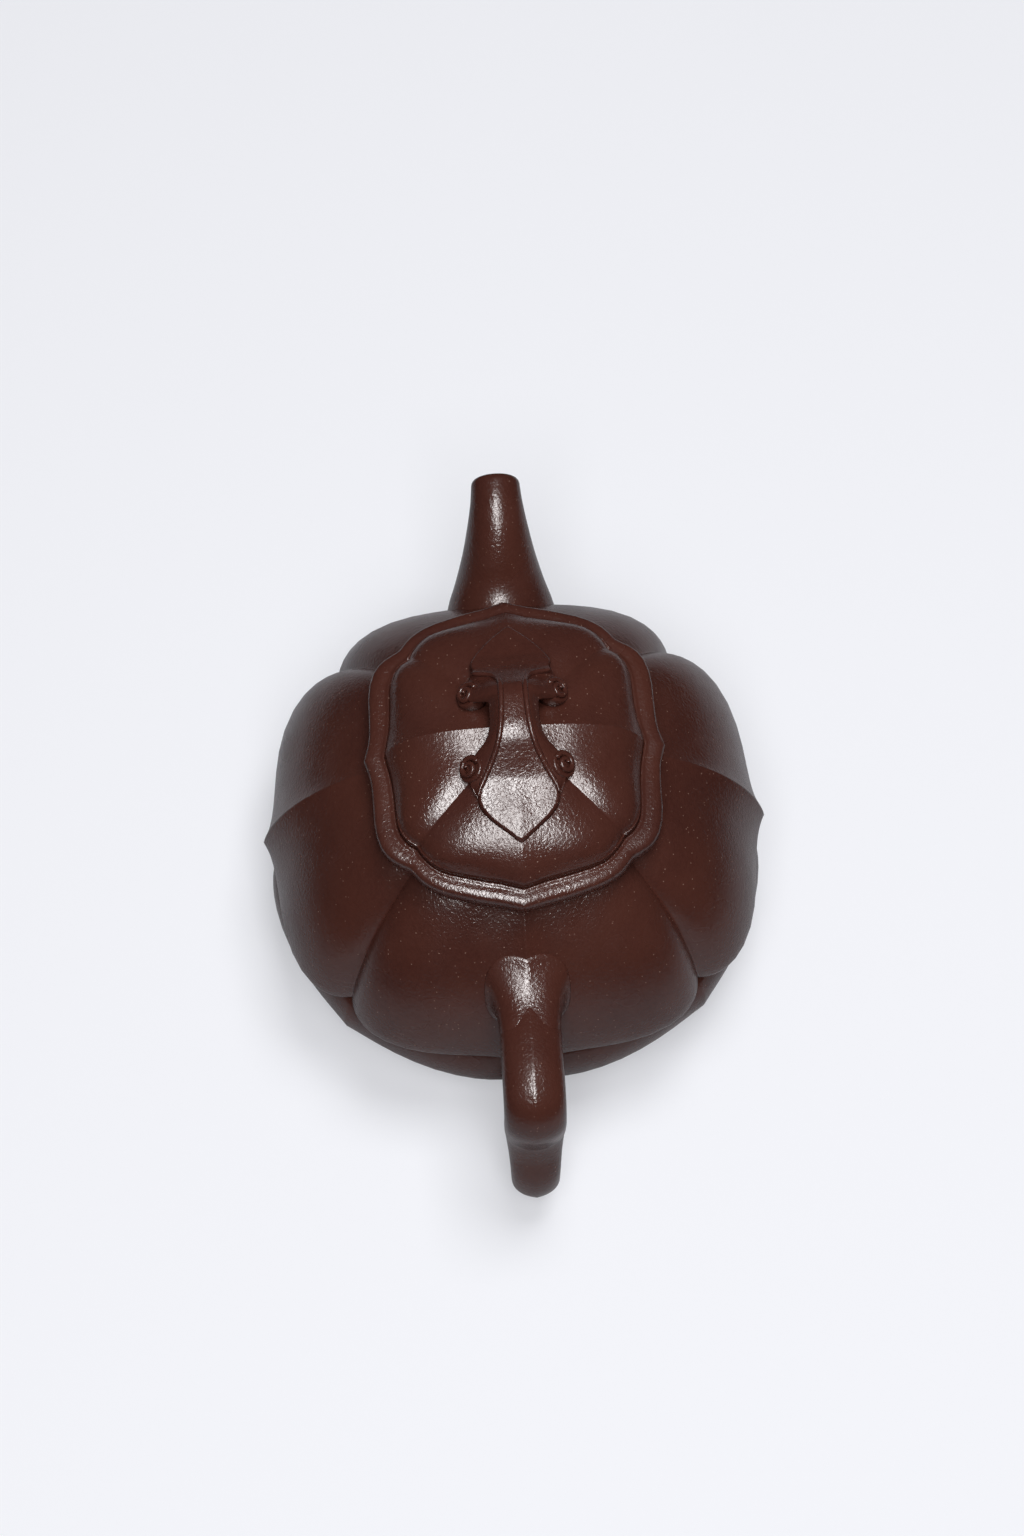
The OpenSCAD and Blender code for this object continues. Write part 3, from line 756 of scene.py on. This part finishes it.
def drape(name, rows, columns, place):
    """A sheet of clay laid point by point: place gives x, y and z for a share along and a share across."""
    let_go()
    bpy.ops.mesh.primitive_grid_add(x_subdivisions=rows, y_subdivisions=columns, size=2)
    piece = bpy.context.object
    piece.name = piece.data.name = name
    for v in piece.data.vertices:
        v.co = Vector(place(v.co.x, v.co.y)) * MM
    return piece


def bridge():
    """The arch between the leaves: a middle band, a seat for each bead, and flanks that run into the arms."""
    band_to, seat_to = 0.4, 0.55

    def place(u, v):
        x = BRIDGE_FRONT + (BRIDGE_BACK - BRIDGE_FRONT) * (u + 1) / 2
        flank = smooth_line(FLANK_LINE, x)
        channel = min(smooth_line(BEAD_LINE, x) - BEAD_SEAT / 2, flank - BEAD_SEAT - 0.35)
        out, side = abs(v), 1 if v > 0 else -1
        past = max(0.0, SINK_FRONT - x, x - SINK_BACK)
        sink = 0.02 * past + 0.03 * past * past
        if out < band_to:
            y = channel * out / band_to
            z = middle_band(x, y, channel) + 0.03 - sink
        elif out < seat_to:
            s = (out - band_to) / (seat_to - band_to)
            y = channel + BEAD_SEAT * s
            z = middle_band(x, y, channel) + 0.03 - 0.25 * s - sink
        else:
            s = (out - seat_to) / (1 - seat_to)
            s = 0.35 * s + 0.65 * sin(s * pi / 2)
            inner = channel + BEAD_SEAT
            y = inner + (flank - inner) * s
            high = middle_band(x, inner, channel) - 0.22 - sink
            low = CROWN_Z + smooth_line(EDGE_LINE, x)
            z = high + (low - high) * s ** 1.35 - 0.3 * rounded_edge(max(0.0, (s - 0.93) / 0.07))
        return x, side * y, max(z, ground(x, y) + 0.15)
    piece = drape("bridge_arch", 130, 64, place)
    add_modifier(piece, "SOLIDIFY", thickness=BRIDGE_T * MM, offset=-1.0, use_even_offset=False)
    bpy.ops.object.mode_set(mode="EDIT")
    return finish(piece)


def rope(name, points, radii):
    """A thin rope of clay rolled along points, each with its own radius, made from a bevelled curve."""
    let_go()
    curve = bpy.data.curves.new(name, "CURVE")
    curve.dimensions = "3D"
    curve.bevel_depth = MM
    curve.bevel_resolution = 4
    curve.use_fill_caps = True
    spline = curve.splines.new("NURBS")
    spline.points.add(len(points) - 1)
    for point, at, r in zip(spline.points, points, radii):
        point.co = (*(Vector(at) * MM), 1)
        point.radius = r
    spline.use_endpoint_u = True
    spline.order_u = 4
    spline.resolution_u = 3
    piece = bpy.data.objects.new(name, curve)
    bpy.context.scene.collection.objects.link(piece)
    bpy.context.view_layer.objects.active = piece
    piece.select_set(True)
    bpy.ops.object.convert(target="MESH")
    piece = bpy.context.object
    piece.name = piece.data.name = name
    bpy.ops.object.mode_set(mode="EDIT")
    return finish(piece)


def bead(name, side):
    """A thin rolled rope on the edge of the middle band, from the front leaf's shoulder to the back arm."""
    front, back, count = -14.4, 11.05, 90
    points, radii = [], []
    for k in range(count + 1):
        x = front + (back - front) * k / count
        y = smooth_line(BEAD_LINE, x)
        points.append((x, side * y, middle_band(x, y, y) + 0.12 - 0.12 * max(0, x - 9)))
        radii.append(BEAD_R * min(1.0, 0.4 + (x - front) / 4, 0.5 + (back - x) / 1.5))
    return rope(name, points, radii)


# Profile of the button under a scroll
BUTTON = [(0.0, -3.6), (2.3, -3.6), (2.75, -2.0), (2.85, -0.9), (2.75, -0.2), (2.5, 0.12), (2.0, -0.1),
          (1.2, -0.1), (0.7, 0.15), (0.0, 0.3)]


def scroll(name, x, y, lean_back):
    """A curl at the end of an arm: a rope wound in a spiral on a round button that leans outwards."""
    turns, start, outer, inner, count = 1.4, radians(-75), 2.3, 0.62, 60
    lean_out, lift = radians(-40), 2.3
    points, radii = [], []
    for k in range(count + 1):
        s = k / count
        g = start + 2 * pi * turns * s
        r = outer + (inner - outer) * s ** 0.8
        points.append((r * cos(g), r * sin(g), 0.15 + 0.3 * s))
        radii.append(0.6 - 0.1 * s)
    curl = rope(name, points, radii)
    thrown_ring("button", BUTTON)
    curl.select_set(True)
    bpy.context.view_layer.objects.active = curl
    bpy.ops.object.join()
    lean = Matrix.Rotation(lean_out, 4, "X") @ Matrix.Rotation(radians(lean_back), 4, "Y")
    curl.data.transform(Matrix.Translation(Vector((x, y, dome_at(x, y) + lift)) * MM) @ lean)
    return curl


def copy_mirrored(piece, name):
    """A copy of a piece with its own mesh, mirrored from the left side of the pot to the right."""
    let_go()
    piece.select_set(True)
    bpy.context.view_layer.objects.active = piece
    bpy.ops.object.duplicate(linked=False)
    twin = bpy.context.object
    twin.name = twin.data.name = name
    bpy.ops.object.mode_set(mode="EDIT")
    select_all()
    bpy.ops.transform.resize(value=(1, -1, 1), center_override=(0, 0, 0))
    return finish(twin)


def leaf(name, side, outline):
    """A pointed ruyi leaf that comes out from under the bridge and swells at its shoulders."""
    start, tip = outline[0][0], outline[-1][0]
    rolled_side, rolled_tip, shown_from = 0.7, 0.8, 12.6

    def place(u, v):
        d = start + (tip - start) * (u + 1) / 2
        half = smooth_line(outline, d)
        across = 0.75 * sin(v * pi / 2) + 0.25 * v
        x, y = side * d, half * across
        edge = max(0.0, (abs(across) - 1) * half / rolled_side + 1)
        point = max(0.0, (d - tip) / rolled_tip + 1)
        z = middle_band(x, y, half) - 0.05 * max(0.0, shown_from - d)
        return x, y, z - (LEAF_T + 0.25) * rounded_edge(min(1.0, hypot(edge, point)))
    piece = drape(name, 70, 56, place)
    add_modifier(piece, "SOLIDIFY", thickness=0.8 * MM, offset=-1.0 if side > 0 else 1.0)
    bpy.ops.object.mode_set(mode="EDIT")
    return finish(piece)


# ---------- the pieces, each in the place of its solid ----------
def stand_for(piece, body, node):
    """The piece stands for a node of the frame and rides on its body; the node's own solid is hidden."""
    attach(piece, body)
    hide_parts(node)
    return piece


stand_for(upper_wall(), "pot", "upper_wall")
stand_for(lower_wall(), "pot", "lower_wall")
foot, mouth, flange, base = small_rings()
stand_for(foot, "pot", "foot_ring")
stand_for(base, "pot", "base_disc")
stand_for(mouth, "pot", "mouth_ring")
stand_for(flange, "lid", "lid_flange")
stand_for(spout(), "pot", "spout")
stand_for(handle(), "pot", "handle")
stand_for(handle_collar(), "pot", "handle_collar")
stand_for(lid_rim(), "lid", "lid_rim")
stand_for(lid_dome(), "lid", "lid_dome")
stand_for(bridge(), "lid", "knob_bridge")
for hand, side in (("left", 1), ("right", -1)):
    stand_for(bead("bead_%s_rope" % hand, side), "lid", "bead_" + hand)
for end, x, y, lean_back in (("scroll_front", -8.6, 9.2, -6), ("scroll_back", 7.2, 8.9, 4)):
    left = stand_for(scroll(end + "_left_curl", x, y, lean_back), "lid", end + "_left")
    stand_for(copy_mirrored(left, end + "_right_curl"), "lid", end + "_right")
stand_for(leaf("leaf_front_blade", -1, FRONT_LEAF), "lid", "leaf_front")
stand_for(leaf("leaf_back_blade", 1, BACK_LEAF), "lid", "leaf_back")


# ---------- clay ----------
def linear(code):
    """An sRGB hex colour as the linear one that a socket takes."""
    shares = [int(code[i:i + 2], 16) / 255 for i in (1, 3, 5)]
    return [s / 12.92 if s <= 0.04045 else ((s + 0.055) / 1.055) ** 2.4 for s in shares] + [1.0]


def add_node(tree, kind, inputs, **settings):
    """Adds a node with its settings. An input takes a value, or the output that feeds it."""
    node = tree.nodes.new("ShaderNode" + kind)
    for name, value in settings.items():
        setattr(node, name, value)
    for name, value in inputs.items():
        if isinstance(value, bpy.types.NodeSocket):
            tree.links.new(value, node.inputs[name])
        else:
            node.inputs[name].default_value = value
    return node


def zisha(name, roughness, tones, peel_wide, peel_depth, fleck_share):
    """Zisha stoneware with its sand: tones from dark to light, orange peel in the skin so many metres wide
    and deep, and pale mica flecks at a share of their places."""
    material = bpy.data.materials.new(name)
    material.use_nodes = True
    tree = material.node_tree
    tree.nodes.clear()
    place = add_node(tree, "TexCoord", {}).outputs["Object"]

    # the kiln leaves the tone uneven over about 20 mm
    firing = add_node(tree, "TexNoise", {"Vector": place, "Scale": 1 / 0.020, "Detail": 3.0,
                                         "Roughness": 0.6})
    # sand of about 0.5 mm under the skin, drawn at 0.9 mm so that it shows
    sand = add_node(tree, "TexNoise", {"Vector": place, "Scale": 1 / 0.0009, "Detail": 2.0,
                                       "Roughness": 0.7})
    fired = add_node(tree, "MapRange", {"Value": firing.outputs["Fac"], "From Min": 0.35, "From Max": 0.65})
    sandy = add_node(tree, "MapRange", {"Value": sand.outputs["Fac"], "From Min": 0.35, "From Max": 0.65,
                                        "To Min": 0.0, "To Max": 0.3})
    clay = add_node(tree, "Mix", {0: fired.outputs["Result"], 6: linear(tones[0]), 7: linear(tones[1])},
                    data_type="RGBA")
    body = add_node(tree, "Mix", {0: sandy.outputs["Result"], 6: clay.outputs[2], 7: linear(tones[2])},
                    data_type="RGBA")

    # pale mica flecks of about 0.2 mm, one in 1.2 mm where they drift together
    grid = add_node(tree, "TexVoronoi", {"Vector": place, "Scale": 1 / 0.0012, "Randomness": 1.0})
    drifts = add_node(tree, "TexNoise", {"Vector": place, "Scale": 1 / 0.014, "Detail": 2.0})
    dots = add_node(tree, "MapRange", {"Value": grid.outputs["Distance"], "From Min": 0.06, "From Max": 0.12,
                                       "To Min": 1.0, "To Max": 0.0})
    chosen = add_node(tree, "Math", {0: grid.outputs["Color"], 1: 1 - fleck_share}, operation="GREATER_THAN")
    thick = add_node(tree, "MapRange", {"Value": drifts.outputs["Fac"], "From Min": 0.35, "From Max": 0.55})
    kept = add_node(tree, "Math", {0: chosen.outputs[0], 1: thick.outputs["Result"]}, operation="MULTIPLY")
    fleck = add_node(tree, "Math", {0: dots.outputs["Result"], 1: kept.outputs[0]}, operation="MULTIPLY")
    colour = add_node(tree, "Mix", {0: fleck.outputs[0], 6: body.outputs[2], 7: linear("#8C6F63")},
                      data_type="RGBA")

    # the tool rides over the sand and drags the skin a little between the grains, which breaks up highlights
    peel = add_node(tree, "TexNoise", {"Vector": place, "Scale": 1 / peel_wide, "Detail": 2.0,
                                       "Roughness": 0.5, "Distortion": 0.8})
    # hand pressure leaves soft hollows 8 mm across, under 0.1 mm deep, some rubbed glossier and some duller
    press = add_node(tree, "TexNoise", {"Vector": place, "Scale": 1 / 0.008, "Detail": 1.0})
    skin = add_node(tree, "Math", {0: press.outputs["Fac"], 1: 0.00012 / peel_depth, 2: peel.outputs["Fac"]},
                    operation="MULTIPLY_ADD")
    bump = add_node(tree, "Bump", {"Height": skin.outputs[0], "Strength": 1.0, "Distance": peel_depth})
    rubbed = add_node(tree, "MapRange", {"Value": press.outputs["Fac"], "From Min": 0.3, "From Max": 0.7,
                                         "To Min": roughness - 0.04, "To Max": roughness + 0.05})

    shader = add_node(tree, "BsdfPrincipled", {"Base Color": colour.outputs[2], "IOR": 1.5,
                                               "Roughness": rubbed.outputs["Result"],
                                               "Normal": bump.outputs["Normal"]})
    add_node(tree, "OutputMaterial", {"Surface": shader.outputs["BSDF"]})
    return material


BROWN_SKIN = ("#3F201A", "#49271F", "#502E26")
BROWN_CLAY = ("#43251E", "#4C2C24", "#593A30")
# Burnished before firing: a dark chocolate skin with a soft gloss, its highlights broken by fine orange peel.
burnished = zisha("zisha_burnished", 0.24, BROWN_SKIN, 0.00065, 0.00009, 0.7)
# The lid's skin was dabbed rather than drawn, so its highlights are grainier.
dabbed = zisha("zisha_dabbed", 0.22, BROWN_SKIN, 0.0009, 0.0006, 0.7)
# Left as it came from the tool: the same clay, paler and matt, as on the foot, the mouth and the strainer.
unburnished = zisha("zisha_unburnished", 0.62, BROWN_CLAY, 0.00065, 0.0001, 0.3)
MATT = ("foot_ring_worn", "base_slab", "mouth_rim", "flange_ring", "strainer")
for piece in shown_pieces():
    piece.data.materials.clear()
    skin = dabbed if body_of(piece) == "lid" else burnished
    piece.data.materials.append(unburnished if piece.name in MATT else skin)


# ---------- table, light and view, in metres ----------
PAPER = linear("#F2F3F8")
# The paper's colour for reflected and bounced light: painted shade, a grey darker than its white
PAPER_PAINTED_SHADE = linear("#B4B5BA")
# Share of its light that the paper gives out by itself near the pot, which lightens the shadow on it
PAPER_GLOW = 0.4
# Distance from the pot at which that share starts to grow, and at which it is all
GLOW_FROM = 0.3
GLOW_FULL = 1.0
# The strip of paper that the clay mirrors pale, outside which the paper is painted dark (painted shade): its
# half width, where it has faded out, and the share at which a distance behind the spout counts, so that it
# reaches farther there
STRIP_HALF = 0.11
STRIP_END = 0.2
STRIP_STRETCH = 0.45
TABLE_WIDE = 3.0


def table():
    """Seamless white paper: white to the camera, and painted grey and dark for every other ray."""
    let_go()
    bpy.ops.mesh.primitive_plane_add(size=TABLE_WIDE)
    sheet = bpy.context.object
    sheet.name = "table"
    white = bpy.data.materials.new("white_paper")
    white.use_nodes = True
    tree = white.node_tree
    tree.nodes.clear()
    seen = add_node(tree, "LightPath", {})
    shaded = add_node(tree, "BsdfDiffuse", {"Color": PAPER})
    lit = add_node(tree, "Emission", {"Color": PAPER, "Strength": 1.0})
    place = add_node(tree, "TexCoord", {})
    out = add_node(tree, "VectorMath", {0: place.outputs["Object"]}, operation="LENGTH")
    # the sheet keeps the pot's shadow near it and turns an even white far away
    glow = add_node(tree, "MapRange", {"Value": out.outputs["Value"], "From Min": GLOW_FROM,
                                       "From Max": GLOW_FULL, "To Min": PAPER_GLOW, "To Max": 1.0})
    paper = add_node(tree, "MixShader", {0: glow.outputs["Result"], 1: shaded.outputs[0],
                                         2: lit.outputs[0]})
    # painted shade: for every ray but the camera's the paper is painted grey along the pot, and to its sides
    # and farther off behind the spout it is painted dark, so that the clay mirrors shade there and the walls
    # keep their depth
    at = add_node(tree, "SeparateXYZ", {"Vector": place.outputs["Object"]})
    aside = add_node(tree, "Math", {0: at.outputs["Y"]}, operation="ABSOLUTE")
    behind = add_node(tree, "Math", {0: at.outputs["X"], 1: STRIP_STRETCH}, operation="MULTIPLY")
    farthest = add_node(tree, "Math", {0: aside.outputs[0], 1: behind.outputs[0]}, operation="MAXIMUM")
    near = add_node(tree, "MapRange", {"Value": farthest.outputs[0], "From Min": STRIP_HALF,
                                       "From Max": STRIP_END, "To Min": 1.0, "To Max": 0.06})
    tone = add_node(tree, "Mix", {0: near.outputs["Result"], 6: linear("#000000"), 7: PAPER_PAINTED_SHADE},
                    data_type="RGBA")
    mirrored = add_node(tree, "BsdfDiffuse", {"Color": tone.outputs[2]})
    sheet_look = add_node(tree, "MixShader", {0: seen.outputs["Is Camera Ray"], 1: mirrored.outputs[0],
                                              2: paper.outputs[0]})
    add_node(tree, "OutputMaterial", {"Surface": sheet_look.outputs[0]})
    sheet.data.materials.append(white)


LAMP_FAR = 1.2
LAMP_AIM = Vector((0, 0, 0.06))


def soft_box(name, lean, side, wide, watts, **shows):
    """A lamp box over the pot. It leans from straight up towards the handle (lean) and towards +Y (side), in
    degrees. shows says which rays don't see it."""
    way = Vector((-tan(radians(lean)), tan(radians(side)), 1)).normalized()
    let_go()
    bpy.ops.object.light_add(type="AREA", location=LAMP_AIM + way * LAMP_FAR)
    lamp = bpy.context.object
    lamp.name = name
    lamp.data.shape = "RECTANGLE"
    lamp.data.size, lamp.data.size_y = wide
    lamp.data.energy = watts
    across = Vector((0, 1, 0)).cross(way).normalized()
    lamp.rotation_euler = Matrix((across, way.cross(across), way)).transposed().to_euler()
    for kind, shown in shows.items():
        setattr(lamp, "visible_" + kind, shown)


table()
# the long box over the handle draws the highlights and nothing else
soft_box("strip_box", 15, 3, (0.72, 0.24), 19, diffuse=False)
# the two wide ones lay the light and the shadow and aren't mirrored
soft_box("wide_box", -8, -9, (0.5, 0.5), 7.6, glossy=False)
soft_box("front_fill", 26, 2, (0.6, 0.6), 9.4, glossy=False)

# The view looks down on the lid from over the handle: what it aims at, how far off, how steep, how far aside
AIM = Vector((-3.97, 0.73, 66.0)) * MM
EYE_OFF = 0.7
TILT = radians(65)
SWING = radians(-3.5)
# Lens and height of the camera's frame, in millimetres
LENS = 83.679
FRAME_H = 36.0
look = Vector((cos(TILT) * cos(SWING), cos(TILT) * sin(SWING), -sin(TILT)))
bpy.ops.object.camera_add(location=AIM - look * EYE_OFF)
camera = bpy.context.object
camera.rotation_euler = look.to_track_quat("-Z", "Y").to_euler()
camera.data.sensor_fit = "VERTICAL"
camera.data.sensor_height = FRAME_H
camera.data.lens = LENS
bpy.context.scene.camera = camera

# A dim room for the pot, and the paper's white behind it for the camera
world = bpy.data.worlds.new("studio")
bpy.context.scene.world = world
world.use_nodes = True
room = world.node_tree
room.nodes.clear()
seen = add_node(room, "LightPath", {})
dark = add_node(room, "Background", {"Color": PAPER, "Strength": 0.04})
white = add_node(room, "Background", {"Color": PAPER, "Strength": 1.0})
air = add_node(room, "MixShader", {0: seen.outputs["Is Camera Ray"], 1: dark.outputs[0], 2: white.outputs[0]})
add_node(room, "OutputWorld", {"Surface": air.outputs["Shader"]})
bpy.context.scene.view_settings.view_transform = "Standard"
